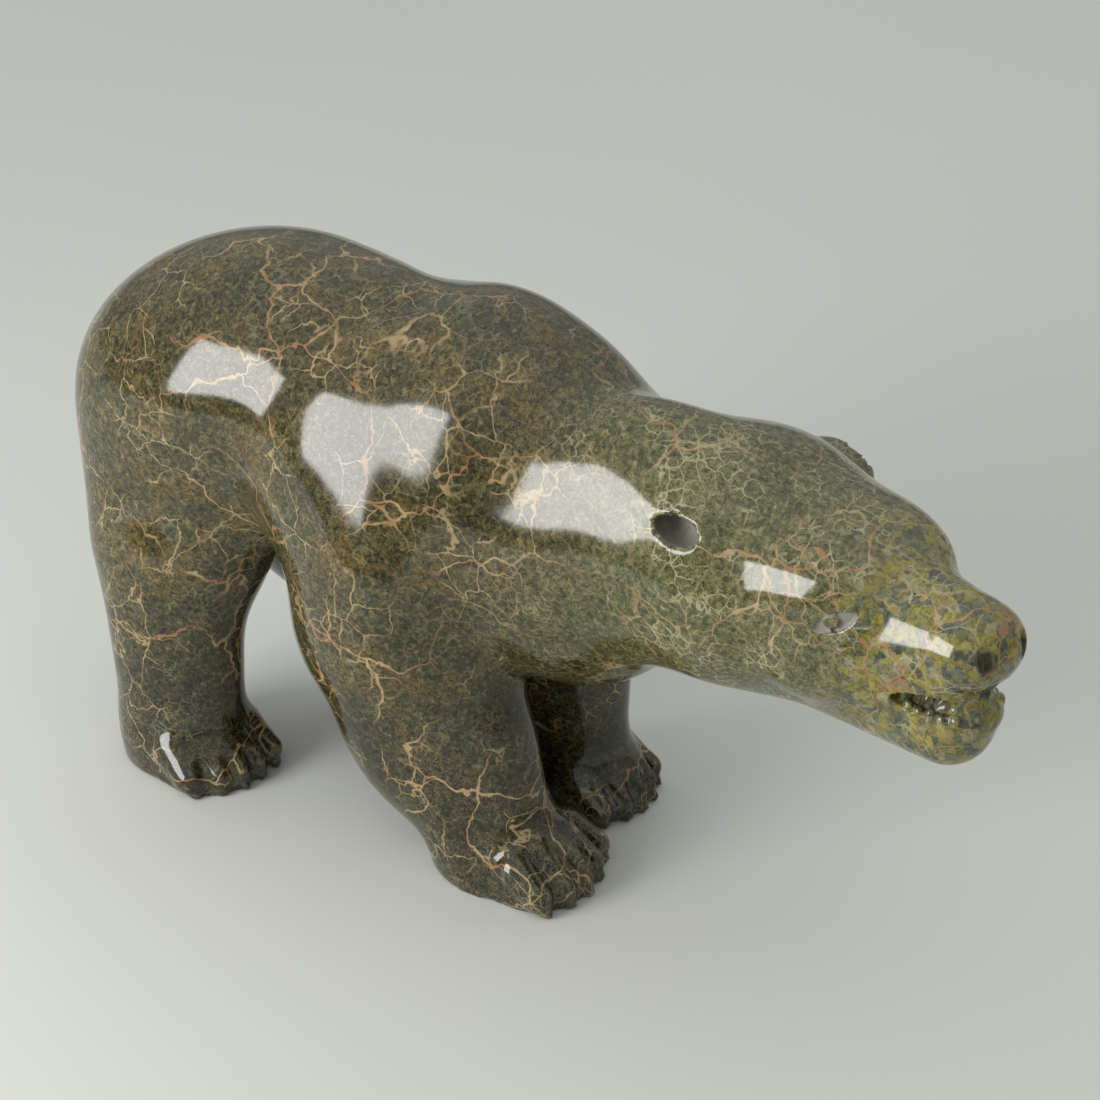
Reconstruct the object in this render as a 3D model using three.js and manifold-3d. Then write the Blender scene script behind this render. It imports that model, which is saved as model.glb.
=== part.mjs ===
// Stone bear carving: one block of soapstone, cut as a walking bear with its head turned to its right.
// Millimetres. X runs forward along the spine, Y to the bear's left, Z up from the soles.
import * as THREE from "three";
import ManifoldModule from "manifold-3d";

// ---- driving sizes ----
const GRID = 2;                   // spacing at which the form is sampled
const TRIANGLES = 9700;           // facets left after thinning
const BLOCK = { low: [-236, -96, -12], high: [296, 92, 286] };
const SETTLE_PASSES = 3;          // times each vertex is drawn onto the surface
const SETTLE_LIMIT = 2.5;         // furthest a vertex moves in one pass
const COARSE = 4;                 // cells in a sampling brick
const SHORT_EDGE_PULL = 0.004;    // how strongly thinning prefers short edges
const UNTANGLE_PASSES = 20;
const FAINT = 0.05;               // value given to a sample that is turned over

const HEAD = { at: [149, -2, 190], yaw: -18, pitch: 2 };
const TOES = 5;
const TOE_SPREAD = 0.42;          // outermost toe, as a share of the paw's width
const TOE_ARC = 7;                // how far the outer toes fall behind the middle one
const TEETH = 6;                  // on each side of the lower jaw
const MOUTH_DEPTH = 9;            // how far the open mouth is hollowed in from the lips
const EYE_DEPTH = 1.6;            // depth of the almond ring incised round each eye
const NOSTRIL_DEPTH = 6;

const STONE = { colour: 0x3b3d2c, roughness: 0.24, metalness: 0.0 };

// ---- blending of masses ----
const blend = (a, b, reach) => {
  const h = Math.max(reach - Math.abs(a - b), 0) / reach;
  return Math.min(a, b) - h * h * h * reach / 6;
};
const cut = (a, b, reach) => -blend(-a, b, reach);
const incised = (a, shape, depth) => Math.max(a, Math.min(-shape, a + depth));

// Distance to an egg-shaped mass, turned by yaw about Z and then pitched nose up.
function egg(at, radii, yaw = 0, pitch = 0) {
  const turn = new THREE.Matrix4().makeRotationZ(THREE.MathUtils.degToRad(yaw));
  turn.multiply(new THREE.Matrix4().makeRotationY(THREE.MathUtils.degToRad(-pitch)));
  const m = turn.elements;
  return (x, y, z) => {
    const dx = x - at[0];
    const dy = y - at[1];
    const dz = z - at[2];
    const u = (m[0] * dx + m[1] * dy + m[2] * dz) / radii[0];
    const v = (m[4] * dx + m[5] * dy + m[6] * dz) / radii[1];
    const w = (m[8] * dx + m[9] * dy + m[10] * dz) / radii[2];
    const size = Math.sqrt(u * u + v * v + w * w);
    const slope = Math.sqrt((u / radii[0]) ** 2 + (v / radii[1]) ** 2 + (w / radii[2]) ** 2);
    return slope < 1e-9 ? -Math.min(...radii) : size * (size - 1) / slope;
  };
}

// Distance to a tapered limb between two round ends; flat below 1 squeezes it sideways.
function limb(from, to, fromRadius, toRadius, flat = 1) {
  const bx = to[0] - from[0];
  const by = (to[1] - from[1]) / flat;
  const bz = to[2] - from[2];
  const long2 = bx * bx + by * by + bz * bz;
  const taper = fromRadius - toRadius;
  const lean2 = long2 - taper * taper;
  return (x, y, z) => {
    const px = x - from[0];
    const py = (y - from[1]) / flat;
    const pz = z - from[2];
    const along = px * bx + py * by + pz * bz;
    const beyond = along - long2;
    const qx = px * long2 - bx * along;
    const qy = py * long2 - by * along;
    const qz = pz * long2 - bz * along;
    const side2 = qx * qx + qy * qy + qz * qz;
    const along2 = along * along * long2;
    const beyond2 = beyond * beyond * long2;
    const cone = Math.sign(taper) * taper * taper * side2;
    let d = (Math.sqrt(side2 * lean2 / long2) + along * taper) / long2 - fromRadius;
    if (Math.sign(beyond) * lean2 * beyond2 > cone) d = Math.sqrt(side2 + beyond2) / long2 - toRadius;
    else if (Math.sign(along) * lean2 * along2 < cone) d = Math.sqrt(side2 + along2) / long2 - fromRadius;
    return flat < 1 ? d * flat ** 0.5 : d;
  };
}

// A chain of masses, each blended into the ones before it: [mass, reach of the blend].
const chain = (masses) => (x, y, z) => {
  let d = masses[0][0](x, y, z);
  for (let i = 1; i < masses.length; i++) d = blend(d, masses[i][0](x, y, z), masses[i][1]);
  return d;
};

// A group worked out only inside its own box, which reaches past its surface by more than any blend.
const within = (low, high, mass) => (x, y, z) => {
  const inside = x > low[0] && y > low[1] && z > low[2] && x < high[0] && y < high[1] && z < high[2];
  return inside ? mass(x, y, z) : Infinity;
};

// ---- trunk and neck ----
const trunk = chain([
  [egg([-122, 0, 205], [97, 66, 63], 0, 21), 0],                       // rump
  [egg([-38, 0, 186], [77, 70, 84]), 23],                              // barrel
  [egg([11, 0, 188], [58, 60, 85]), 30],                               // shoulder hump
  [egg([42, 0, 184], [55, 52, 76]), 30],                               // withers
  [egg([62, -2, 162], [56, 50, 63]), 30],                              // chest
  [limb([64, -3, 184], [140, -7, 186], 44, 54), 30],                   // neck
  [egg([106, -16, 192], [69, 38, 59]), 20],                            // neck, bunched on the side it turns to
  [limb([-196, 0, 206], [-211, 0, 178], 12, 8), 12],                   // tail
]);

// The hollow that crosses the back behind the shoulders and fades down each flank.
const valleys = [-1, 1].map((side) => limb([-7, 0, 298], [-71, side * 75, 243], 14, 7));

// ---- legs ----
// A paw in its own frame: reach to the toe tips, width, and how far the inner toe leads the outer one.
function paw({ at, yaw, reach, width, lead }) {
  const c = Math.cos(THREE.MathUtils.degToRad(yaw));
  const s = Math.sin(THREE.MathUtils.degToRad(yaw));
  const pad = chain([
    [egg([5, 0, 4], [reach * 0.58, width / 2, 36]), 0],
    [egg([reach - 25, 0, 5], [21, width / 2 - 2, 21]), 14],
  ]);
  const toes = [];
  const grooves = [];
  for (let i = 0; i < TOES; i++) {
    const across = 2 * i / (TOES - 1) - 1;
    const side = across * width * TOE_SPREAD;
    const tip = reach - TOE_ARC * across * across + lead * across;
    toes.push(limb([tip - 22, side * 0.84, 17], [tip - 8, side * 0.97, 9.5], 8.5, 7));
    toes.push(limb([tip - 10, side * 0.98, 8], [tip - 2, side, 2], 6.2, 2));
    if (i === 0) continue;
    const between = side - width * TOE_SPREAD / (TOES - 1);
    grooves.push(limb([tip - 27, between * 0.86, 29], [tip + 2, between, 9], 1.5, 3.2));
  }
  return (x, y, z) => {
    const ahead = c * (x - at[0]) + s * (y - at[1]);
    const left = -s * (x - at[0]) + c * (y - at[1]);
    let claws = Infinity;
    for (const toe of toes) claws = blend(claws, toe(ahead, left, z), 1.5);
    let foot = blend(pad(ahead, left, z), claws, 5);
    for (const groove of grooves) foot = cut(foot, groove(ahead, left, z), 6);
    return foot;
  };
}

const legs = [
  within([-260, -130, -20], [-40, 30, 270], chain([      // right hind, standing
    [egg([-148, -27, 153], [54, 34, 76]), 0],
    [limb([-151, -37, 112], [-148, -40, 28], 38, 33, 0.78), 26],
    [paw({ at: [-155, -37], yaw: -14, reach: 56, width: 54, lead: 3 }), 22],
  ])),
  within([-230, -30, -20], [30, 130, 270], chain([       // left hind, stepping forward
    [egg([-118, 29, 150], [54, 34, 76]), 0],
    [limb([-94, 36, 112], [-72, 40, 28], 37, 31, 0.78), 26],
    [paw({ at: [-70, 41], yaw: 8, reach: 52, width: 50, lead: -3 }), 22],
  ])),
  within([-120, -130, -20], [130, 30, 270], chain([      // right fore, raked forward to the paw
    [egg([-19, -33, 142], [47, 45, 74]), 0],
    [limb([-20, -32, 112], [26, -35, 28], 55, 34, 0.66), 26],
    [egg([-2, -34, 62], [50, 29, 46], 0, -40), 20],
    [paw({ at: [31, -33], yaw: -1, reach: 55, width: 59, lead: 0 }), 22],
  ])),
  within([-90, -30, -20], [130, 130, 270], chain([       // left fore, upright
    [egg([14, 28, 152], [48, 34, 68]), 0],
    [limb([22, 34, 112], [26, 38, 28], 40, 31, 0.8), 26],
    [paw({ at: [24, 39], yaw: -3, reach: 50, width: 52, lead: 0 }), 22],
  ])),
];

// ---- head, in its own frame: ahead, left and up from the middle of the skull ----
const skull = chain([
  [egg([0, 0, -2], [60, 52, 49]), 0],
  [egg([46, 0, 9], [42, 43, 32]), 20],                 // forehead
  [limb([76, 0, 0], [110, 0, 1], 27, 22), 20],         // muzzle
  [egg([122, 0, 5], [15, 19, 15]), 12],                // nose
  [limb([20, 0, -35], [107, 0, -35], 25, 19.5), 18],   // jaw
  [egg([119, 0, -29], [10, 15, 8]), 8],                // lower lip
]);
const pair = (make) => [make(-1), make(1)];
const cheeks = pair((side) => limb([52, side * 18, -16], [96, side * 5, -14], 24, 18));
const brows = pair((side) => egg([61, side * 19, 17], [22, 14, 12.5]));
const ears = pair((side) => egg([-1, side * 44, 23], [17, 9, 11], side * 8, -4));
const earHollows = pair((side) => egg([1, side * 50.5, 27.5], [13.5, 8, 6.5], side * 8, -3));
const nostrils = pair((side) => limb([135, side * 12, 10], [136, side * 11, 3], 4.4, 3.2));
const noseCreases = pair((side) => limb([134, side * 11, 14], [138, side * 2, 14], 1.8, 1.2));
const sideGapes = pair((side) => egg([110, side * 19, -20.5], [16, 12, 5], side * 14));
const frontGape = egg([136, 0, -13], [14, 10, 7.5], 0, 20);

// An eye's pointed outline: the meeting of two round plates, one a little above the other.
function almond(at, length, height, yaw, pitch) {
  const reach = (length ** 2 / height + height) / 2;
  const rise = reach - height;
  const a = THREE.MathUtils.degToRad(yaw);
  const b = THREE.MathUtils.degToRad(pitch);
  const up = [-Math.cos(a) * Math.sin(b), -Math.sin(a) * Math.sin(b), Math.cos(b)];
  const plates = [-rise, rise].map((by) => egg(at.map((v, k) => v + by * up[k]), [reach, 14, reach], yaw, pitch));
  return (x, y, z) => Math.max(plates[0](x, y, z), plates[1](x, y, z));
}

const eyeCuts = pair((side) => almond([74, side * 33.5, 7.5], 10.5, 4.2, side * -26, 27));
const pupils = pair((side) => egg([73, side * 34, 7.3], [3.6, 14, 2.5], side * -26, 20));

const teeth = [];
for (let i = 0; i < TEETH; i++) {
  const along = i / (TEETH - 1);
  for (const side of [-1, 1]) {
    const at = [97 + 25 * along, side * (18.5 - 5.5 * along ** 2), -24.6 - along];
    teeth.push(egg(at, [2.2, 2.2, 2.6 + i % 2]));
  }
}

const headTurn = new THREE.Matrix4().makeRotationZ(THREE.MathUtils.degToRad(HEAD.yaw));
headTurn.multiply(new THREE.Matrix4().makeRotationY(THREE.MathUtils.degToRad(-HEAD.pitch)));

function addHead(d, x, y, z) {
  const m = headTurn.elements;
  const dx = x - HEAD.at[0];
  const dy = y - HEAD.at[1];
  const dz = z - HEAD.at[2];
  const u = m[0] * dx + m[1] * dy + m[2] * dz;
  const v = m[4] * dx + m[5] * dy + m[6] * dz;
  const w = m[8] * dx + m[9] * dy + m[10] * dz;
  let head = skull(u, v, w);
  for (const cheek of cheeks) head = blend(head, cheek(u, v, w), 16);
  for (const brow of brows) head = blend(head, brow(u, v, w), 14);
  for (const ear of ears) head = blend(head, ear(u, v, w), 5);
  let whole = blend(d, head, 26);
  for (const hollow of earHollows) whole = cut(whole, hollow(u, v, w), 1);
  for (const crease of noseCreases) whole = cut(whole, crease(u, v, w), 2);
  for (const nostril of nostrils) whole = incised(whole, nostril(u, v, w), NOSTRIL_DEPTH);
  for (const gape of [...sideGapes, frontGape]) whole = incised(whole, gape(u, v, w), MOUTH_DEPTH);
  for (const tooth of teeth) whole = blend(whole, tooth(u, v, w), 1);
  for (let side = 0; side < 2; side++) {
    const ring = Math.max(eyeCuts[side](u, v, w), -pupils[side](u, v, w));
    whole = incised(whole, ring, EYE_DEPTH);
  }
  return whole;
}
const HEAD_START = 60;            // the head's masses reach no further back than this
const SOLE_STOCK = 6;             // stone left under the paws until the soles are cut flat

function bear(x, y, z) {
  let d = trunk(x, y, z);
  for (const valley of valleys) d = cut(d, valley(x, y, z), 24);
  for (const leg of legs) d = blend(d, leg(x, y, z), 22);
  if (x > HEAD_START) d = addHead(d, x, y, z);
  return Math.max(d, -SOLE_STOCK - z);
}

// ---- sampling the form ----
// Fills the grid brick by brick; a brick well clear of the surface takes one value throughout.
function sampled(form, low, high, step) {
  const count = low.map((v, k) => Math.ceil((high[k] - v) / step) + 1);
  const value = new Float32Array(count[0] * count[1] * count[2]);
  const clear = step * COARSE * Math.sqrt(3);
  const middle = (first) => (first + (COARSE - 1) / 2) * step;
  for (let k0 = 0; k0 < count[2]; k0 += COARSE) {
    for (let j0 = 0; j0 < count[1]; j0 += COARSE) {
      for (let i0 = 0; i0 < count[0]; i0 += COARSE) {
        const core = form(low[0] + middle(i0), low[1] + middle(j0), low[2] + middle(k0));
        const solid = Math.abs(core) > clear;
        for (let k = k0; k < Math.min(k0 + COARSE, count[2]); k++) {
          for (let j = j0; j < Math.min(j0 + COARSE, count[1]); j++) {
            for (let i = i0; i < Math.min(i0 + COARSE, count[0]); i++) {
              const at = i + count[0] * (j + count[1] * k);
              value[at] = solid ? core : form(low[0] + i * step, low[1] + j * step, low[2] + k * step);
            }
          }
        }
      }
    }
  }
  return { value, count };
}

// Two sheets that only touch along a grid edge are joined or parted, by turning over the faintest corner
// of every square of samples whose diagonals disagree.
function untangled(value, count) {
  const stride = [1, count[0], count[0] * count[1]];
  let turned = 1;
  for (let pass = 0; pass < UNTANGLE_PASSES && turned > 0; pass++) {
    turned = 0;
    for (let at = 0; at < value.length - stride[0] - stride[1] - stride[2]; at++) {
      for (let n = 0; n < 3; n++) {
        const a = stride[n];
        const b = stride[(n + 1) % 3];
        if (value[at] < 0 !== value[at + a + b] < 0 || value[at + a] < 0 !== value[at + b] < 0) continue;
        if (value[at] < 0 === value[at + a] < 0) continue;
        const square = [at, at + a, at + b, at + a + b];
        const faint = square.reduce((p, q) => (Math.abs(value[q]) < Math.abs(value[p]) ? q : p));
        value[faint] = value[faint] < 0 ? FAINT : -FAINT;
        turned++;
      }
    }
  }
}

// One vertex in every grid cell the surface passes through, and a face across every grid edge it crosses.
function skinned(form, low, high, step) {
  const { value, count } = sampled(form, low, high, step);
  untangled(value, count);
  const stride = [1, count[0], count[0] * count[1]];
  const corners = [];
  for (let c = 0; c < 8; c++) corners.push([c & 1, (c >> 1) & 1, (c >> 2) & 1]);
  const edges = [];
  for (let a = 0; a < 8; a++) {
    for (const bit of [1, 2, 4]) if (!(a & bit)) edges.push([a, a | bit]);
  }
  const offset = corners.map((c) => c[0] * stride[0] + c[1] * stride[1] + c[2] * stride[2]);
  const vertexIn = new Int32Array(value.length).fill(-1);
  const points = [];
  const faces = [];
  const eachCell = (start, visit) => {
    for (let k = start; k < count[2] - 1; k++) {
      for (let j = start; j < count[1] - 1; j++) {
        for (let i = start; i < count[0] - 1; i++) visit([i, j, k], i + j * stride[1] + k * stride[2]);
      }
    }
  };
  eachCell(0, (cell, at) => {
    const middle = [0, 0, 0];
    let crossings = 0;
    for (const [a, b] of edges) {
      const va = value[at + offset[a]];
      const vb = value[at + offset[b]];
      if (va < 0 === vb < 0) continue;
      const share = va / (va - vb);
      for (let n = 0; n < 3; n++) middle[n] += corners[a][n] + share * (corners[b][n] - corners[a][n]);
      crossings++;
    }
    if (!crossings) return;
    vertexIn[at] = points.length;
    points.push(middle.map((m, n) => low[n] + (cell[n] + m / crossings) * step));
  });
  eachCell(1, (cell, at) => {
    for (let n = 0; n < 3; n++) {
      const inside = value[at] < 0;
      if (inside === value[at + stride[n]] < 0) continue;
      const back = stride[(n + 1) % 3];
      const down = stride[(n + 2) % 3];
      const ring = [at, at - back, at - back - down, at - down].map((c) => vertexIn[c]);
      if (!inside) ring.reverse();
      faces.push([ring[0], ring[1], ring[2]], [ring[0], ring[2], ring[3]]);
    }
  });
  return { points, faces };
}

// Draws every vertex along the slope of the form until it lies on the surface.
function settle(form, points) {
  const reach = 0.05;
  for (const p of points) {
    for (let pass = 0; pass < SETTLE_PASSES; pass++) {
      const [x, y, z] = p;
      const slope = [
        form(x + reach, y, z) - form(x - reach, y, z),
        form(x, y + reach, z) - form(x, y - reach, z),
        form(x, y, z + reach) - form(x, y, z - reach),
      ].map((v) => v / (2 * reach));
      const steep = slope[0] ** 2 + slope[1] ** 2 + slope[2] ** 2;
      if (steep < 1e-4) break;
      const step = THREE.MathUtils.clamp(form(x, y, z) / Math.sqrt(steep), -SETTLE_LIMIT, SETTLE_LIMIT);
      for (let n = 0; n < 3; n++) p[n] -= step * slope[n] / Math.sqrt(steep);
    }
  }
}

// ---- thinning to few facets ----
// A pile of edges, cheapest first.
class Pile {
  constructor() {
    this.items = [];
  }
  push(item) {
    const items = this.items;
    let at = items.length;
    items.push(item);
    while (at > 0) {
      const above = (at - 1) >> 1;
      if (items[above].cost <= item.cost) break;
      items[at] = items[above];
      at = above;
    }
    items[at] = item;
  }
  pop() {
    const items = this.items;
    const top = items[0];
    const last = items.pop();
    if (!items.length) return top;
    let at = 0;
    for (;;) {
      let below = 2 * at + 1;
      if (below >= items.length) break;
      if (below + 1 < items.length && items[below + 1].cost < items[below].cost) below++;
      if (items[below].cost >= last.cost) break;
      items[at] = items[below];
      at = below;
    }
    items[at] = last;
    return top;
  }
}

const minus = (a, b) => [a[0] - b[0], a[1] - b[1], a[2] - b[2]];
const dot = (a, b) => a[0] * b[0] + a[1] * b[1] + a[2] * b[2];
const cross = (a, b) => [a[1] * b[2] - a[2] * b[1], a[2] * b[0] - a[0] * b[2], a[0] * b[1] - a[1] * b[0]];
const faceNormal = (a, b, c) => cross(minus(b, a), minus(c, a));

// Error of a point against summed planes: six second-order terms, three first-order, one constant.
function planeError(q, p) {
  const [x, y, z] = p;
  return q[0] * x * x + q[3] * y * y + q[5] * z * z + 2 * (q[1] * x * y + q[2] * x * z + q[4] * y * z)
    + 2 * (q[6] * x + q[7] * y + q[8] * z) + q[9];
}

function lowestPoint(q) {
  const m = new THREE.Matrix3().set(q[0], q[1], q[2], q[1], q[3], q[4], q[2], q[4], q[5]);
  const size = q[0] + q[3] + q[5];
  if (Math.abs(m.determinant()) < 1e-4 * size ** 3) return null;
  return new THREE.Vector3(-q[6], -q[7], -q[8]).applyMatrix3(m.invert()).toArray();
}

// Merges the ends of the cheapest edges until only `keep` faces are left.
function thinned(points, faces, keep, weightAt) {
  const planes = points.map(() => new Float64Array(10));
  const facesAt = points.map(() => new Set());
  const stamp = new Int32Array(points.length);
  faces.forEach((face, f) => {
    const n = faceNormal(...face.map((v) => points[v]));
    const area = Math.hypot(...n);
    if (area < 1e-12) return;
    const [a, b, c] = n.map((v) => v / area);
    const d = -dot([a, b, c], points[face[0]]);
    const terms = [a * a, a * b, a * c, b * b, b * c, c * c, a * d, b * d, c * d, d * d];
    for (const v of face) {
      const weight = area * weightAt(points[v]);
      terms.forEach((t, n2) => (planes[v][n2] += t * weight));
    }
  });
  faces.forEach((face, f) => face.forEach((v) => facesAt[v].add(f)));
  const alive = new Uint8Array(faces.length).fill(1);
  let left = faces.length;
  const pile = new Pile();
  const neighbours = (v) => {
    const found = new Set();
    for (const f of facesAt[v]) for (const w of faces[f]) if (w !== v) found.add(w);
    return found;
  };
  const offer = (a, b) => {
    const q = planes[a].map((t, n) => t + planes[b][n]);
    const middle = points[a].map((v, n) => (v + points[b][n]) / 2);
    const length = Math.hypot(...minus(points[a], points[b]));
    let best = lowestPoint(q);
    if (!best || Math.hypot(...minus(best, middle)) > 1.5 * length) best = middle;
    const cost = planeError(q, best) + SHORT_EDGE_PULL * length ** 2;
    pile.push({ cost, a, b, best, made: stamp[a] + stamp[b] });
  };
  points.forEach((_, a) => neighbours(a).forEach((b) => a < b && offer(a, b)));
  const turnsOver = (v, other, to) => {
    for (const f of facesAt[v]) {
      if (faces[f].includes(other)) continue;
      const before = faceNormal(...faces[f].map((w) => points[w]));
      const after = faceNormal(...faces[f].map((w) => (w === v ? to : points[w])));
      if (dot(before, after) < 0.2 * Math.hypot(...before) * Math.hypot(...after)) return true;
    }
    return false;
  };
  while (left > keep && pile.items.length) {
    const { a, b, best, made } = pile.pop();
    if (!facesAt[a].size || !facesAt[b].size || made !== stamp[a] + stamp[b]) continue;
    const near = neighbours(a);
    if (!near.has(b)) continue;
    let shared = 0;
    for (const v of neighbours(b)) if (near.has(v)) shared++;
    if (shared !== 2 || turnsOver(a, b, best) || turnsOver(b, a, best)) continue;
    points[a] = best;
    for (const f of [...facesAt[b]]) {
      if (faces[f].includes(a)) {
        alive[f] = 0;
        left--;
        for (const v of faces[f]) facesAt[v].delete(f);
      } else {
        faces[f] = faces[f].map((v) => (v === b ? a : v));
        facesAt[a].add(f);
      }
    }
    facesAt[b].clear();
    planes[a] = planes[a].map((t, n) => t + planes[b][n]);
    stamp[a]++;
    for (const v of neighbours(a)) offer(a, v);
  }
  const renamed = new Map();
  const kept = [];
  const keptFaces = faces.filter((_, f) => alive[f]).map((face) => face.map((v) => {
    if (!renamed.has(v)) renamed.set(v, kept.push(points[v]) - 1);
    return renamed.get(v);
  }));
  return { points: kept, faces: keptFaces };
}

// ---- the carved block ----
const FACE_WEIGHT = 10;           // facets spent on the face, against the plain flanks
const PAW_WEIGHT = 5;             // and on the toes
const PAW_TOP = 30;

const weightAt = ([x, , z]) => {
  if (x > HEAD_START + 40) return FACE_WEIGHT;
  return z < PAW_TOP ? PAW_WEIGHT : 1;
};

const wasm = await ManifoldModule();
wasm.setup();

const solidOf = (points, faces) => new wasm.Manifold(new wasm.Mesh({
  numProp: 3,
  vertProperties: new Float32Array(points.flat()),
  triVerts: new Uint32Array(faces.flat()),
}));

function solidFrom(geometry) {
  const position = geometry.getAttribute("position");
  const points = [];
  const named = new Map();
  const faces = [];
  for (let i = 0; i < geometry.index.count; i += 3) {
    faces.push([0, 1, 2].map((n) => {
      const v = geometry.index.getX(i + n);
      const p = [position.getX(v), position.getY(v), position.getZ(v)];
      const key = p.join();
      if (!named.has(key)) named.set(key, points.push(p) - 1);
      return named.get(key);
    }));
  }
  return solidOf(points, faces);
}

function carving() {
  const skin = skinned(bear, BLOCK.low, BLOCK.high, GRID);
  settle(bear, skin.points);
  const facets = thinned(skin.points, skin.faces, TRIANGLES, weightAt);
  const long = BLOCK.high[0] - BLOCK.low[0];
  const wide = BLOCK.high[1] - BLOCK.low[1];
  const bench = new THREE.BoxGeometry(2 * long, 2 * wide, -2 * BLOCK.low[2]);
  bench.translate(0, 0, BLOCK.low[2]);
  const { numProp, vertProperties, triVerts } = solidOf(facets.points, facets.faces)
    .subtract(solidFrom(bench))
    .getMesh();
  const corners = new Float32Array(vertProperties.length / numProp * 3);
  for (let v = 0; v < corners.length / 3; v++) {
    for (let n = 0; n < 3; n++) corners[3 * v + n] = vertProperties[numProp * v + n];
  }
  const geometry = new THREE.BufferGeometry();
  geometry.setAttribute("position", new THREE.BufferAttribute(corners, 3));
  geometry.setIndex(new THREE.BufferAttribute(new Uint32Array(triVerts), 1));
  geometry.computeBoundingBox();
  const { min, max } = geometry.boundingBox;
  geometry.translate(-(min.x + max.x) / 2, -(min.y + max.y) / 2, 0);
  geometry.computeVertexNormals();
  return geometry;
}

const stone = new THREE.MeshStandardMaterial({
  color: STONE.colour,
  roughness: STONE.roughness,
  metalness: STONE.metalness,
});
const figure = new THREE.Mesh(carving(), stone);
figure.name = "bear";
const part = new THREE.Group();
part.name = "stone_bear_carving";
part.add(figure);
export default part;
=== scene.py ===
import math

import bpy
import numpy as np
from mathutils import Matrix, Vector


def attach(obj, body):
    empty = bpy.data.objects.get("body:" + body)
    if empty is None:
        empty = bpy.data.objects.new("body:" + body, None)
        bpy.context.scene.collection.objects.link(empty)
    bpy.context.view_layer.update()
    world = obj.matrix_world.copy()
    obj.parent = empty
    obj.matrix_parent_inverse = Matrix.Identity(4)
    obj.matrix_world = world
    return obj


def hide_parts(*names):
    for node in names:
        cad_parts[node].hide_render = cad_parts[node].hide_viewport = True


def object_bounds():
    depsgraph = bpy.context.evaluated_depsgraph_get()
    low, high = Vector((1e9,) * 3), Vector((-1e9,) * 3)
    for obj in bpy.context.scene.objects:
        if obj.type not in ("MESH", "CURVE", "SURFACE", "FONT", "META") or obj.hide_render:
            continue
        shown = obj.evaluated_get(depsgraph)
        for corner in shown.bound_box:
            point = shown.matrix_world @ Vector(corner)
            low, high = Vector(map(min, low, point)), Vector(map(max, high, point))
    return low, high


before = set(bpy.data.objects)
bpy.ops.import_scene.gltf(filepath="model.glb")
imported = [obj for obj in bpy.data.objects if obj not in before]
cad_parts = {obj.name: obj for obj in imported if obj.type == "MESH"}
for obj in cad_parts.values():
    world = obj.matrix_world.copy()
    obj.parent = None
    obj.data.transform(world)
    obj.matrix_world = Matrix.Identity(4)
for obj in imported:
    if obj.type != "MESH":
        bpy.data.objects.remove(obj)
cad_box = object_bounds()
bpy.ops.object.select_all(action="DESELECT")

# ---- the form: the same named masses as the solid, in millimetres ----
CENTRE = np.array([30.48, -2.57, 0.0])   # from the carving's own origin to the middle of its footprint
HEAD_AT = (149, -2, 190)
HEAD_YAW = -18
HEAD_PITCH = 2
HEAD_START = 60
TOES = 5
TOE_SPREAD = 0.42
TOE_ARC = 7
TEETH = 6
MOUTH_DEPTH = 9
EYE_DEPTH = 1.6
NOSTRIL_DEPTH = 6
# on the head: ahead, left (times -1 on the right) and up from its middle, and how far each is turned
EAR_HOLLOW = ((1, 50.5, 27.5), 8, -3)
EYE = ((74, 33.5, 7.5), -26, 27)
PUPIL = ((73, 34, 7.3), -26, 20)
# each paw: its place on the ground, its yaw, its reach, its width and the lead of its outer toes
PAWS = {
    "right_hind": ((-155, -37), -14, 56, 54, 3),
    "left_hind": ((-70, 41), 8, 52, 50, -3),
    "right_fore": ((31, -33), -1, 55, 59, 0),
    "left_fore": ((24, 39), -3, 50, 52, 0),
}


def turn(yaw, pitch):
    """Rows are the directions ahead, left and up of a mass turned by yaw and then nose up by pitch."""
    a, b = math.radians(yaw), math.radians(pitch)
    ahead = (math.cos(a) * math.cos(b), math.sin(a) * math.cos(b), math.sin(b))
    left = (-math.sin(a), math.cos(a), 0)
    up = (-math.cos(a) * math.sin(b), -math.sin(a) * math.sin(b), math.cos(b))
    return np.array([ahead, left, up])


HEAD_AXES = turn(HEAD_YAW, HEAD_PITCH)


def blend(a, b, reach):
    """The union of two distances, rounded where they meet over the reach."""
    h = np.maximum(reach - np.abs(a - b), 0) / reach
    return np.minimum(a, b) - h ** 3 * reach / 6


def cut(a, b, reach):
    """The first with the second taken away, its edge rounded over the reach."""
    return -blend(-a, b, reach)


def incised(a, shape, depth):
    """A cut of even depth, with the outline of the shape."""
    return np.maximum(a, np.minimum(-shape, a + depth))


def egg(at, radii, yaw=0, pitch=0):
    """The distance to an ellipsoid, turned by yaw and pitch."""
    at, radii, axes = np.array(at, float), np.array(radii, float), turn(yaw, pitch)

    def distance(p):
        q = (p - at) @ axes.T / radii
        size = np.sqrt((q ** 2).sum(1))
        slope = np.sqrt(((q / radii) ** 2).sum(1)) + 1e-9
        return size * (size - 1) / slope
    return distance


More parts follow.
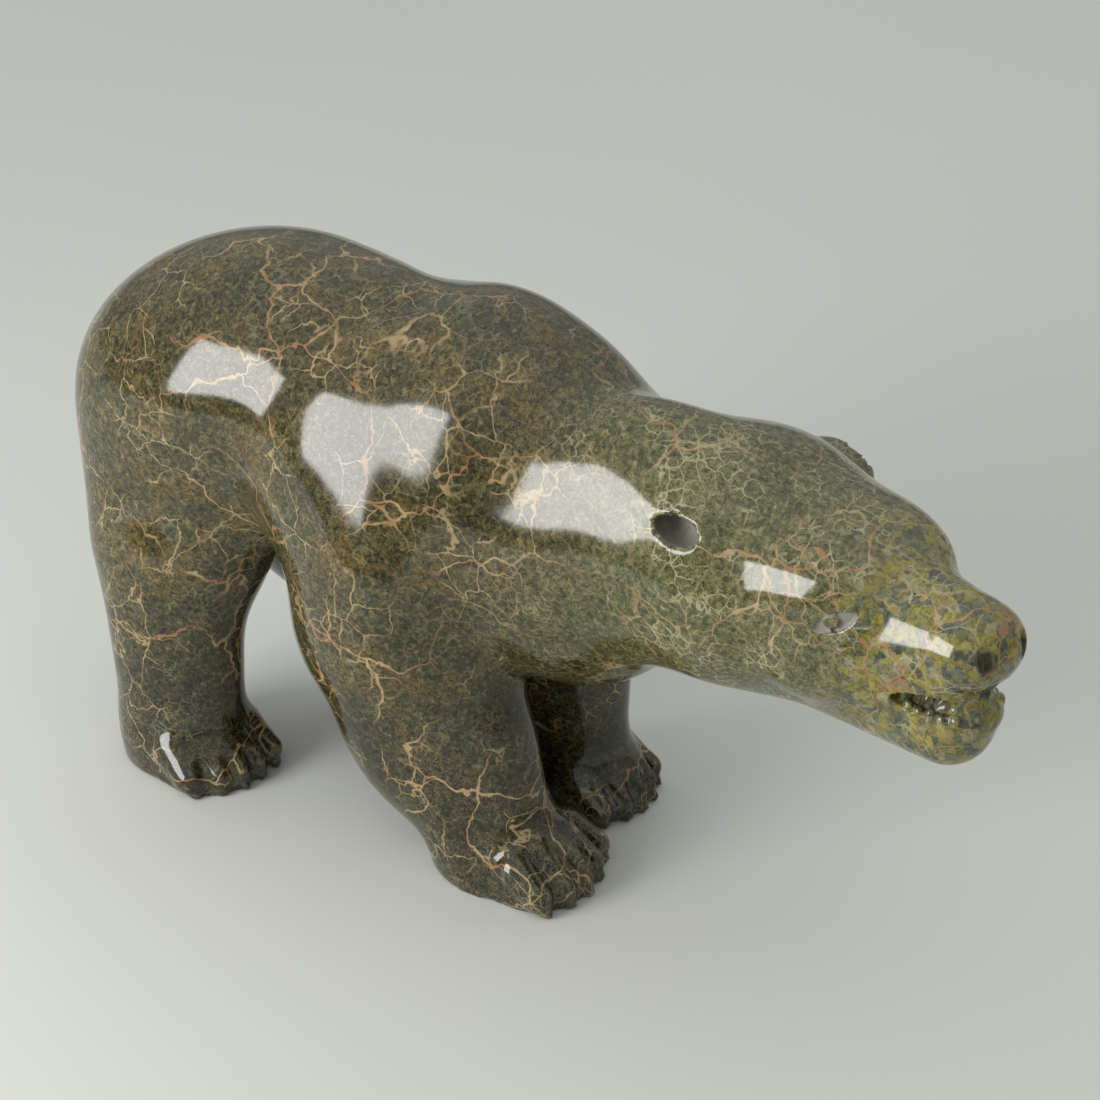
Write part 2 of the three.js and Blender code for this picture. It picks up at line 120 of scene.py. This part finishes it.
def limb(start, end, start_radius, end_radius, flat=1.0):
    """The distance to a round-ended cone. Flat under 1 makes it narrower from side to side."""
    squeeze = np.array([1, 1 / flat, 1])
    start, end = np.array(start, float), np.array(end, float)
    run = (end - start) * squeeze
    long2 = run @ run
    taper = start_radius - end_radius
    lean2 = long2 - taper ** 2

    def distance(p):
        q = (p - start) * squeeze
        along = q @ run
        beyond = along - long2
        side2 = ((q * long2 - run * along[:, None]) ** 2).sum(1)
        along2, beyond2 = along ** 2 * long2, beyond ** 2 * long2
        cone = np.sign(taper) * taper ** 2 * side2
        d = (np.sqrt(side2 * lean2 / long2) + along * taper) / long2 - start_radius
        tail = np.sign(along) * lean2 * along2 < cone
        d = np.where(tail, np.sqrt(side2 + along2) / long2 - start_radius, d)
        tip = np.sign(beyond) * lean2 * beyond2 > cone
        d = np.where(tip, np.sqrt(side2 + beyond2) / long2 - end_radius, d)
        return d * flat ** 0.5
    return distance


def chain(masses):
    """Masses blended one after the other, each with its own reach."""
    def distance(p):
        d = masses[0][0](p)
        for mass, reach in masses[1:]:
            d = blend(d, mass(p), reach)
        return d
    return distance


def within(low, high, mass):
    """A mass that is worked out only in its own box, to save time."""
    low, high = np.array(low), np.array(high)

    def distance(p):
        d = np.full(len(p), 1e3)
        near = np.all((p > low) & (p < high), axis=1)
        if near.any():
            d[near] = mass(p[near])
        return d
    return distance


def pair(make):
    """One for the right side and one for the left."""
    return [make(-1), make(1)]


def on_side(feature, side):
    """A feature's place, yaw and pitch on the right (side -1) or the left (side 1) of the head."""
    (ahead, out, up), yaw, pitch = feature
    return (ahead, side * out, up), side * yaw, pitch


def along_head(p):
    """Points of the carving, read ahead, left and up from the middle of the head."""
    return (p - np.array(HEAD_AT)) @ HEAD_AXES.T


TRUNK = chain([
    (egg((-122, 0, 205), (97, 66, 63), 0, 21), 0),
    (egg((-38, 0, 186), (77, 70, 84)), 23),
    (egg((11, 0, 188), (58, 60, 85)), 30),
    (egg((42, 0, 184), (55, 52, 76)), 30),
    (egg((62, -2, 162), (56, 50, 63)), 30),
    (limb((64, -3, 184), (140, -7, 186), 44, 54), 30),
    (egg((106, -16, 192), (69, 38, 59)), 20),
    (limb((-196, 0, 206), (-211, 0, 178), 12, 8), 12),
])
VALLEYS = pair(lambda side: limb((-7, 0, 298), (-71, side * 75, 243), 14, 7))


def paw(at, yaw, reach, width, lead):
    """A pad with toes, claws and the grooves between the toes."""
    axes = turn(yaw, 0)
    pad = chain([
        (egg((5, 0, 4), (reach * 0.58, width / 2, 36)), 0),
        (egg((reach - 25, 0, 5), (21, width / 2 - 2, 21)), 14),
    ])
    toes, grooves = [], []
    for i in range(TOES):
        across = 2 * i / (TOES - 1) - 1
        side = across * width * TOE_SPREAD
        tip = reach - TOE_ARC * across ** 2 + lead * across
        toes.append(limb((tip - 22, side * 0.84, 17), (tip - 8, side * 0.97, 9.5), 8.5, 7))
        toes.append(limb((tip - 10, side * 0.98, 8), (tip - 2, side, 2), 6.2, 2))
        if i:
            between = side - width * TOE_SPREAD / (TOES - 1)
            grooves.append(limb((tip - 27, between * 0.86, 29), (tip + 2, between, 9), 1.5, 3.2))

    def distance(p):
        q = (p - np.array([at[0], at[1], 0])) @ axes.T
        claws = toes[0](q)
        for toe in toes[1:]:
            claws = blend(claws, toe(q), 1.5)
        foot = blend(pad(q), claws, 5)
        for groove in grooves:
            foot = cut(foot, groove(q), 6)
        return foot
    return distance


LEGS = [
    within((-260, -130, -20), (-40, 30, 270), chain([
        (egg((-148, -27, 153), (54, 34, 76)), 0),
        (limb((-151, -37, 112), (-148, -40, 28), 38, 33, 0.78), 26),
        (paw(*PAWS["right_hind"]), 22),
    ])),
    within((-230, -30, -20), (30, 130, 270), chain([
        (egg((-118, 29, 150), (54, 34, 76)), 0),
        (limb((-94, 36, 112), (-72, 40, 28), 37, 31, 0.78), 26),
        (paw(*PAWS["left_hind"]), 22),
    ])),
    within((-120, -130, -20), (130, 30, 270), chain([
        (egg((-19, -33, 142), (47, 45, 74)), 0),
        (limb((-20, -32, 112), (26, -35, 28), 55, 34, 0.66), 26),
        (egg((-2, -34, 62), (50, 29, 46), 0, -40), 20),
        (paw(*PAWS["right_fore"]), 22),
    ])),
    within((-90, -30, -20), (130, 130, 270), chain([
        (egg((14, 28, 152), (48, 34, 68)), 0),
        (limb((22, 34, 112), (26, 38, 28), 40, 31, 0.8), 26),
        (paw(*PAWS["left_fore"]), 22),
    ])),
]


def shaped(feature, side, radii):
    at, yaw, pitch = on_side(feature, side)
    return egg(at, radii, yaw, pitch)


SKULL = chain([
    (egg((0, 0, -2), (60, 52, 49)), 0),
    (egg((46, 0, 9), (42, 43, 32)), 20),
    (limb((76, 0, 0), (110, 0, 1), 27, 22), 20),
    (egg((122, 0, 5), (15, 19, 15)), 12),
    (limb((20, 0, -35), (107, 0, -35), 25, 19.5), 18),
    (egg((119, 0, -29), (10, 15, 8)), 8),
])
CHEEKS = pair(lambda side: limb((52, side * 18, -16), (96, side * 5, -14), 24, 18))
BROWS = pair(lambda side: egg((61, side * 19, 17), (22, 14, 12.5)))
EARS = pair(lambda side: egg((-1, side * 44, 23), (17, 9, 11), side * 8, -4))
EAR_HOLLOWS = pair(lambda side: shaped(EAR_HOLLOW, side, (13.5, 8, 6.5)))
NOSTRILS = pair(lambda side: limb((135, side * 12, 10), (136, side * 11, 3), 4.4, 3.2))
NOSE_CREASES = pair(lambda side: limb((134, side * 11, 14), (138, side * 2, 14), 1.8, 1.2))
SIDE_GAPES = pair(lambda side: egg((110, side * 19, -20.5), (16, 12, 5), side * 14, 0))
FRONT_GAPE = egg((136, 0, -13), (14, 10, 7.5), 0, 20)


def almond(at, yaw, pitch, length, height):
    """The meeting of two round plates, which makes an eye's pointed outline."""
    reach = (length ** 2 / height + height) / 2
    apart = (reach - height) * turn(yaw, pitch)[2]
    plates = [egg(np.array(at) + way * apart, (reach, 14, reach), yaw, pitch) for way in (-1, 1)]
    return lambda p: np.maximum(plates[0](p), plates[1](p))


EYE_CUTS = pair(lambda side: almond(*on_side(EYE, side), 10.5, 4.2))
PUPILS = pair(lambda side: shaped(PUPIL, side, (3.6, 14, 2.5)))


def tooth(i, side):
    along = i / (TEETH - 1)
    return egg((97 + 25 * along, side * (18.5 - 5.5 * along ** 2), -24.6 - along), (2.2, 2.2, 2.6 + i % 2))


TOOTH_ROW = [tooth(i, side) for i in range(TEETH) for side in (-1, 1)]


def add_head(d, p):
    """Blends the head onto the body and carves its ears, nose, mouth and eyes."""
    q = along_head(p)
    head = SKULL(q)
    for cheek in CHEEKS:
        head = blend(head, cheek(q), 16)
    for brow in BROWS:
        head = blend(head, brow(q), 14)
    for ear in EARS:
        head = blend(head, ear(q), 5)
    whole = blend(d, head, 26)
    for hollow in EAR_HOLLOWS:
        whole = cut(whole, hollow(q), 1)
    for crease in NOSE_CREASES:
        whole = cut(whole, crease(q), 2)
    for nostril in NOSTRILS:
        whole = incised(whole, nostril(q), NOSTRIL_DEPTH)
    for gape in SIDE_GAPES:
        whole = incised(whole, gape(q), MOUTH_DEPTH)
    whole = incised(whole, FRONT_GAPE(q), MOUTH_DEPTH)
    for each in TOOTH_ROW:
        whole = blend(whole, each(q), 1)
    for rim, pupil in zip(EYE_CUTS, PUPILS):
        whole = incised(whole, np.maximum(rim(q), -pupil(q)), EYE_DEPTH)
    return whole


def form(p):
    """How far each point is outside the carving, in millimetres."""
    d = TRUNK(p)
    for valley in VALLEYS:
        d = cut(d, valley(p), 24)
    for leg in LEGS:
        d = blend(d, leg(p), 22)
    front = p[:, 0] > HEAD_START
    d[front] = add_head(d[front], p[front])
    return d


# ---- the carved surface ----
SKIN_SPACING = 0.0027      # metres between the skin's vertices
SOLE_HEIGHT = 0.4          # millimetres under which a vertex belongs to a sole
SETTLE_PASSES = 4
SETTLE_LIMIT = 1.2         # millimetres a vertex moves in one pass
PROBE = 0.05               # millimetres over which the form's slope is read


def settle(obj):
    """Draws each vertex onto the form along its slope. Soles stay flat on the ground."""
    mesh = obj.data
    co = np.empty(len(mesh.vertices) * 3)
    mesh.vertices.foreach_get("co", co)
    p = co.reshape(-1, 3) * 1000 + CENTRE
    sole = p[:, 2] < SOLE_HEIGHT
    for _ in range(SETTLE_PASSES):
        d = form(p)
        slope = np.empty_like(p)
        for n in range(3):
            step = np.zeros(3)
            step[n] = PROBE
            slope[:, n] = (form(p + step) - form(p - step)) / (2 * PROBE)
        slope[sole, 2] = 0
        steep = np.sqrt((slope ** 2).sum(1)) + 1e-6
        move = np.clip(d / steep, -SETTLE_LIMIT, SETTLE_LIMIT) / steep
        move[sole & (d < 0)] = 0
        p -= move[:, None] * slope
    p[:, 2] = np.maximum(p[:, 2], 0)
    settled = np.clip((p - CENTRE) / 1000, *np.array(cad_box))
    mesh.vertices.foreach_set("co", settled.ravel())
    mesh.update()


def refine(obj, wanted):
    """Splits in four every face whose middle lies in a wanted part of the carving."""
    mesh = obj.data
    middle = np.empty(len(mesh.polygons) * 3)
    mesh.polygons.foreach_get("center", middle)
    chosen = wanted(middle.reshape(-1, 3) * 1000 + CENTRE)
    bpy.ops.object.mode_set(mode="EDIT")
    bpy.ops.mesh.select_mode(type="FACE")
    bpy.ops.mesh.select_all(action="DESELECT")
    bpy.ops.object.mode_set(mode="OBJECT")
    mesh.polygons.foreach_set("select", chosen)
    bpy.ops.object.mode_set(mode="EDIT")
    bpy.ops.mesh.subdivide(number_cuts=1)
    bpy.ops.object.mode_set(mode="OBJECT")


def near_face(p):
    """The muzzle from the mouth's corners forward, the eyes and the ears."""
    q = along_head(p)
    side = np.abs(q[:, 1])
    eye = (np.abs(q[:, 0] - 74) < 15) & (side > 24) & (np.abs(q[:, 2] - 7.5) < 12)
    ear = (np.abs(q[:, 0] - 1) < 20) & (side > 32) & (np.abs(q[:, 2] - 27) < 15)
    return (q[:, 0] > 90) | eye | ear


def near_toes(p):
    """The front of each paw, above its sole."""
    toes = np.zeros(len(p), bool)
    for at, yaw, reach, _, _ in PAWS.values():
        q = (p - np.array([at[0], at[1], 0])) @ turn(yaw, 0).T
        toes |= (q[:, 0] > reach - 34) & (q[:, 0] < reach + 6) & (np.abs(q[:, 1]) < 32) & (q[:, 2] < 34)
    return toes & (p[:, 2] > 0.5)


def near_openings(p):
    """The eyes' cuts, the teeth and the nostrils."""
    q = along_head(p)
    side = np.abs(q[:, 1])
    eye = (np.abs(q[:, 0] - 74) < 12) & (side > 26) & (np.abs(q[:, 2] - 7.5) < 8)
    mouth = (q[:, 0] > 92) & (q[:, 2] < -10) & (q[:, 2] > -29)
    nostril = (q[:, 0] > 126) & (side > 4) & (q[:, 2] > -2) & (q[:, 2] < 17)
    return eye | mouth | nostril


def carve():
    """The polished skin, made from a merged copy of the solid and drawn onto the form."""
    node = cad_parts["bear"]
    bpy.ops.object.select_all(action="DESELECT")
    node.select_set(True)
    bpy.context.view_layer.objects.active = node
    bpy.ops.object.duplicate(linked=False)
    bear = bpy.context.object
    bear.name = "carved_bear"
    world = bear.matrix_world.copy()
    bear.parent = None
    bear.matrix_world = world
    bpy.ops.object.transform_apply(location=True, rotation=True, scale=True)
    bpy.ops.object.mode_set(mode="EDIT")
    bpy.ops.mesh.select_all(action="SELECT")
    bpy.ops.mesh.remove_doubles(threshold=1e-6)
    bpy.ops.mesh.normals_make_consistent(inside=False)
    bpy.ops.object.mode_set(mode="OBJECT")
    skin = bear.modifiers.new("skin", "REMESH")
    skin.mode = "VOXEL"
    skin.voxel_size = SKIN_SPACING
    skin.use_smooth_shade = True
    bpy.ops.object.modifier_apply(modifier="skin")
    settle(bear)
    for wanted in (lambda p: near_face(p) | near_toes(p), near_openings):
        refine(bear, wanted)
        settle(bear)
    bpy.ops.object.shade_smooth()
    return bear


bear = carve()
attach(bear, "root")
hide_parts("bear")

# ---- materials ----
class Wire:
    """One output of a shader node. Sums written on it add Math nodes."""

    def __init__(self, bench, socket):
        self.bench = bench
        self.socket = socket

    def math(self, operation, *values):
        return self.bench.node("ShaderNodeMath", {"operation": operation}, dict(enumerate(values)))

    def __add__(self, other):
        return self.math("ADD", self, other)

    def __sub__(self, other):
        return self.math("SUBTRACT", self, other)

    def __rsub__(self, other):
        return self.math("SUBTRACT", other, self)

    def __mul__(self, other):
        return self.math("MULTIPLY", self, other)

    def __abs__(self):
        return self.math("ABSOLUTE", self)

    __radd__ = __add__
    __rmul__ = __mul__


class Bench:
    """The nodes of one material."""

    def __init__(self, name):
        self.material = bpy.data.materials.new(name)
        self.material.use_nodes = True
        self.tree = self.material.node_tree
        self.shader = self.tree.nodes["Principled BSDF"]

    def node(self, kind, settings=None, sockets=None, out=0):
        made = self.tree.nodes.new(kind)
        for key, value in (settings or {}).items():
            if key == "stops":
                self.set_stops(made.color_ramp, value)
            else:
                setattr(made, key, value)
        self.fill(made, sockets or {})
        return Wire(self, made.outputs[out])

    def set_stops(self, ramp, stops):
        for position, colour in stops[1:-1]:
            ramp.elements.new(position)
        for element, (position, colour) in zip(ramp.elements, stops):
            element.position = position
            element.color = (*colour, 1)

    def fill(self, made, sockets):
        for key, value in sockets.items():
            if isinstance(value, Wire):
                self.tree.links.new(value.socket, made.inputs[key])
            else:
                made.inputs[key].default_value = value

    def ramp(self, stops, amount):
        return self.node("ShaderNodeValToRGB", {"stops": stops}, {"Fac": amount}, "Color")

    def noise(self, place, size, detail=2.0, roughness=0.5, distortion=0.0, out="Fac"):
        sockets = {"Vector": place, "Scale": 1 / size, "Detail": detail, "Roughness": roughness,
                   "Distortion": distortion}
        return self.node("ShaderNodeTexNoise", {}, sockets, out)

    def bend(self, place, size, reach):
        """The place pushed about by up to half the reach, in swirls of the given size."""
        push = self.noise(place, size, 2, out="Color")
        return self.node("ShaderNodeVectorMath", {"operation": "MULTIPLY_ADD"},
                         {0: push, 1: (reach,) * 3, 2: place})

    def shift(self, place, by):
        return self.node("ShaderNodeVectorMath", {"operation": "ADD"}, {0: place, 1: by})

    def rise(self, value, low, high):
        """0 up to low, 1 from high on, with soft ends. High may be under low."""
        sockets = {"Value": value, "From Min": low, "From Max": high}
        return self.node("ShaderNodeMapRange", {"interpolation_type": "SMOOTHSTEP"}, sockets)

    def mix(self, amount, first, second, blend="MIX"):
        sockets = {"Factor": amount, 6: first, 7: second}
        sockets = {k: (v if isinstance(v, Wire) or k == "Factor" else (*v, 1)) for k, v in sockets.items()}
        return self.node("ShaderNodeMix", {"data_type": "RGBA", "blend_type": blend}, sockets, 2)

    def cracks(self, place, cell, width, seed):
        """1 along thin wandering veins that part the stone in cells of this size, in millimetres."""
        moved = self.shift(place, (seed * 31.0, seed * 17.0, seed * 23.0))
        bent = self.bend(self.bend(moved, cell, cell * 0.9), cell * 0.16, cell * 0.16)
        edge = self.node("ShaderNodeTexVoronoi", {"feature": "DISTANCE_TO_EDGE"},
                         {"Vector": bent, "Scale": 1 / cell}, "Distance")
        return self.rise(edge * cell, width, width * 0.2)

    def inside(self, place, at, yaw, pitch, radii):
        """How far out a point is of an egg that is placed on the head: under 1 inside it."""
        turned = Matrix((turn(yaw, pitch) @ HEAD_AXES).T.tolist()).to_euler()
        middle = np.array(HEAD_AT) + np.array(at) @ HEAD_AXES
        local = self.node("ShaderNodeMapping", {"vector_type": "TEXTURE"},
                          {"Vector": place, "Location": tuple(middle), "Rotation": tuple(turned),
                           "Scale": radii})
        return self.node("ShaderNodeVectorMath", {"operation": "LENGTH"}, {0: local}, "Value")


def srgb(r, g, b):
    """A colour as mixed on a screen, 0 to 255, in the linear values that a shader takes."""
    def linear(v):
        v = v / 255
        return v / 12.92 if v <= 0.04045 else ((v + 0.055) / 1.055) ** 2.4
    return (linear(r), linear(g), linear(b))


# the stone's grain from its darkest to its lightest fleck
OLIVE = [(0.28, srgb(10, 10, 5)), (0.42, srgb(34, 33, 16)), (0.52, srgb(62, 57, 30)),
         (0.62, srgb(94, 86, 54)), (0.76, srgb(136, 126, 92))]
OCHRE = [(0.28, srgb(14, 11, 4)), (0.42, srgb(46, 37, 10)), (0.52, srgb(80, 64, 20)),
         (0.66, srgb(114, 92, 40)), (0.8, srgb(138, 118, 78))]
GREY_GREEN = [(0.28, srgb(24, 28, 16)), (0.42, srgb(62, 64, 36)), (0.52, srgb(92, 92, 56)),
              (0.64, srgb(132, 128, 90)), (0.78, srgb(176, 168, 134))]
BLACK_BROWN = [(0.3, srgb(5, 5, 3)), (0.45, srgb(22, 20, 12)), (0.56, srgb(46, 41, 27)),
               (0.7, srgb(84, 75, 54))]
CHIPS = [(0.0, srgb(58, 66, 64)), (0.2, srgb(96, 104, 96)), (0.34, srgb(140, 134, 60)),
         (0.55, srgb(158, 146, 52)), (0.72, srgb(126, 110, 62)), (0.86, srgb(168, 160, 122)),
         (1.0, srgb(88, 88, 46))]
FIBRE = srgb(150, 142, 104)
CREAM_VEIN = srgb(176, 170, 134)
TAN_VEIN = srgb(168, 146, 106)
RUST_VEIN = srgb(150, 108, 70)
PALE_VEIN = srgb(176, 152, 112)
CHIP_SIZE = 4.2
# spacing of the small pits, whose shade is painted as near black dots, in millimetres
PIT_SPACING = 15
POLISH = 0.09
STONE_IOR = 1.56


def stone_ground(k, grain, patch, neck, leg):
    """Dark olive, browner in patches, greyer towards the neck and darker down the legs."""
    body, ochre, grey, dark = [k.ramp(stops, grain) for stops in (OLIVE, OCHRE, GREY_GREEN, BLACK_BROWN)]
    stone = k.mix(k.rise(patch, 0.5, 0.62) * 0.75, body, ochre)
    stone = k.mix(neck * 0.8, stone, grey)
    return k.mix(leg * 0.75, stone, dark)


def fibres(k, place, stone, patch, neck):
    """Short pale fibres, felted through the ground."""
    fibre = k.noise(k.bend(place, 3, 6), 3.4, 3, 0.6, 1.2)
    hair = k.rise(abs(fibre - 0.5), 0.035, 0.0) * k.rise(patch, 0.35, 0.6)
    return k.mix(hair * (0.35 + neck * 0.25), stone, FIBRE)


def muzzle_chips(k, place, stone, grain, muzzle):
    """Angular chips of yellow-green, ochre and slate."""
    moved = k.bend(place, 5, 4)
    chips = k.node("ShaderNodeTexVoronoi", {}, {"Vector": moved, "Scale": 1 / CHIP_SIZE}, "Color")
    pick = k.node("ShaderNodeSeparateColor", {}, {0: chips}, 0)
    chip = k.mix(k.rise(grain, 0.55, 0.35) * 0.7, k.ramp(CHIPS, pick), srgb(48, 48, 26))
    return k.mix(muzzle * 0.7, stone, chip)


def veins(k, place, stone, patch, neck):
    """Long tan veins, shorter ones between them, and a fine cream net on neck and head."""
    long_veins = k.cracks(place, 46, 0.75, 1) * k.rise(k.noise(place, 60, 2), 0.42, 0.56)
    short_veins = k.cracks(place, 19, 0.5, 2) * k.rise(k.noise(place, 34, 3), 0.46, 0.58)
    net = k.cracks(place, 7, 0.42, 3) * k.rise(k.noise(place, 22, 3), 0.46, 0.6) * (0.25 + neck * 0.75)
    stone = k.mix(net * 0.65, stone, CREAM_VEIN)
    stone = k.mix(short_veins * 0.7, stone, TAN_VEIN)
    return k.mix(long_veins * 0.85, stone, k.mix(k.rise(patch, 0.42, 0.6), RUST_VEIN, PALE_VEIN))


def unpolished(k, place):
    """1 in the ears' hollows and on the rings round the pupils, which the carver left rough."""
    rough = 0
    for side in (-1, 1):
        ear = k.inside(place, *on_side(EAR_HOLLOW, side), (14.2, 9, 7.2))
        eye = k.inside(place, *on_side(EYE, side), (10.4, 9, 4.1))
        pupil = k.inside(place, *on_side(PUPIL, side), (3.8, 14, 2.7))
        ring = k.rise(eye, 1.02, 0.96) * k.rise(pupil, 0.9, 1.05)
        rough = rough + k.rise(ear, 1.0, 0.92) + ring
    return rough


def painted_shade_in_openings(k, place):
    """How strongly painted shade darkens the inside of the mouth and of the nostrils."""
    dark = 0
    for side in (-1, 1):
        gape = k.inside(place, (110, side * 16, -20.5), side * 14, 0, (15.5, 7.5, 4.6))
        nostril = k.inside(place, (134.5, side * 11, 6.5), 0, 0, (4.6, 5.5, 7.2))
        dark = dark + k.rise(gape, 1.0, 0.8) * 0.7 + k.rise(nostril, 1.0, 0.7) * 0.8
    return dark


def soapstone():
    k = Bench("soapstone")
    raw = k.node("ShaderNodeTexCoord", {}, {}, "Object")
    place = k.node("ShaderNodeMapping", {"vector_type": "POINT"},
                   {"Vector": raw, "Location": tuple(CENTRE), "Scale": (1000, 1000, 1000)})
    x = k.node("ShaderNodeSeparateXYZ", {}, {0: place}, "X")
    z = k.node("ShaderNodeSeparateXYZ", {}, {0: place}, "Z")
    cloud = k.noise(place, 70, 3)
    patch = k.noise(place, 26, 4, 0.6)
    grain = k.noise(k.bend(place, 4, 5), 2.6, 5, 0.7, 0.6)
    neck = k.rise(x + (cloud - 0.5) * 60, 40, 130)
    muzzle = k.rise(x + (patch - 0.5) * 50, 196, 232)
    leg = k.rise(z + (cloud - 0.5) * 90, 125, 45)

    stone = stone_ground(k, grain, patch, neck, leg)
    stone = fibres(k, place, stone, patch, neck)
    stone = muzzle_chips(k, place, stone, grain, muzzle)
    stone = veins(k, place, stone, patch, neck)
    rough_cut = unpolished(k, place)
    stone = k.mix(rough_cut, stone, k.mix(grain, srgb(96, 95, 88), srgb(166, 164, 152)))
    # painted shade: the insides of the mouth and the nostrils are coloured a near black brown
    stone = k.mix(painted_shade_in_openings(k, place), stone, srgb(34, 28, 20))
    # painted shade: small pits in the polish are coloured as near black dots
    painted_pit_shade = k.node("ShaderNodeTexVoronoi", {}, {"Vector": place, "Scale": 1 / PIT_SPACING}, "Distance")
    stone = k.mix(k.rise(painted_pit_shade * PIT_SPACING, 0.75, 0.45), stone, srgb(8, 7, 5))
    roughness = POLISH + 0.05 * patch + 0.5 * rough_cut
    k.fill(k.shader, {"Base Color": stone, "Roughness": roughness, "IOR": STONE_IOR})
    return k.material


def paper():
    k = Bench("backdrop_paper")
    raw = k.node("ShaderNodeTexCoord", {}, {}, "Object")
    mottle = k.noise(raw, 0.6, 2)
    tone = k.mix(mottle, srgb(204, 206, 201), srgb(210, 212, 207))
    k.fill(k.shader, {"Base Color": tone, "Roughness": 0.85})
    return k.material


bear.data.materials.clear()
bear.data.materials.append(soapstone())

# ---- floor, backdrop, lights, camera ----
FLOOR_SIZE = 8
SKY_STOPS = [(0.0, 0.22), (0.35, 0.5), (1.0, 0.95)]   # from the horizon to straight up
SOFTBOX_TURN = -28.5       # degrees, from the front of the right side towards the head
SOFTBOX_RISE = 12
SOFTBOX_FAR = 1.2
SOFTBOX_SIZE = (0.66, 0.72)
SOFTBOX_POWER = 14
CAMERA_TURN = 32
CAMERA_RISE = 30
CAMERA_FAR = 1.3
CAMERA_AIM = Vector((-0.03048, 0.06757, 0.110))
LENS = 88.36
SENSOR = 36


def way_to(turned, rise):
    """The direction that is turned from the front of the right side towards the head, and raised."""
    a, e = math.radians(turned), math.radians(rise)
    return Vector((math.sin(a) * math.cos(e), -math.cos(a) * math.cos(e), math.sin(e)))


def studio_sky():
    """Even grey light, brighter from above."""
    world = bpy.data.worlds.new("studio")
    world.use_nodes = True
    sky = world.node_tree
    way = sky.nodes.new("ShaderNodeTexCoord")
    height = sky.nodes.new("ShaderNodeSeparateXYZ")
    tone = sky.nodes.new("ShaderNodeValToRGB")
    tone.color_ramp.elements.new(SKY_STOPS[1][0])
    for element, (position, grey) in zip(tone.color_ramp.elements, SKY_STOPS):
        element.position = position
        element.color = (grey * 0.98, grey, grey * 0.97, 1)
    sky.links.new(way.outputs["Generated"], height.inputs[0])
    sky.links.new(height.outputs["Z"], tone.inputs[0])
    sky.links.new(tone.outputs[0], sky.nodes["Background"].inputs["Color"])
    return world


def softbox(name, at, aim, size, power):
    bpy.ops.object.light_add(type="AREA", location=at)
    lamp = bpy.context.object
    lamp.name = name
    lamp.data.shape = "RECTANGLE"
    lamp.data.size, lamp.data.size_y = size
    lamp.data.energy = power
    lamp.rotation_euler = (Vector(aim) - Vector(at)).to_track_quat("-Z", "Y").to_euler()


bpy.ops.mesh.primitive_plane_add(size=FLOOR_SIZE, location=(0, 3.45, 0))
floor = bpy.context.object
floor.name = "floor"
floor.data.materials.append(paper())

scene = bpy.context.scene
scene.view_settings.view_transform = "Standard"
scene.world = studio_sky()
softbox("main_softbox", Vector((0, 0, 0.17)) + SOFTBOX_FAR * way_to(SOFTBOX_TURN, SOFTBOX_RISE),
        (0, 0, 0.2), SOFTBOX_SIZE, SOFTBOX_POWER)

back = way_to(CAMERA_TURN, CAMERA_RISE)
bpy.ops.object.camera_add(location=CAMERA_AIM + back * CAMERA_FAR)
camera = bpy.context.object
camera.rotation_euler = (-back).to_track_quat("-Z", "Y").to_euler()
camera.data.lens = LENS
camera.data.sensor_width = SENSOR
camera.data.clip_start = 0.01
scene.camera = camera
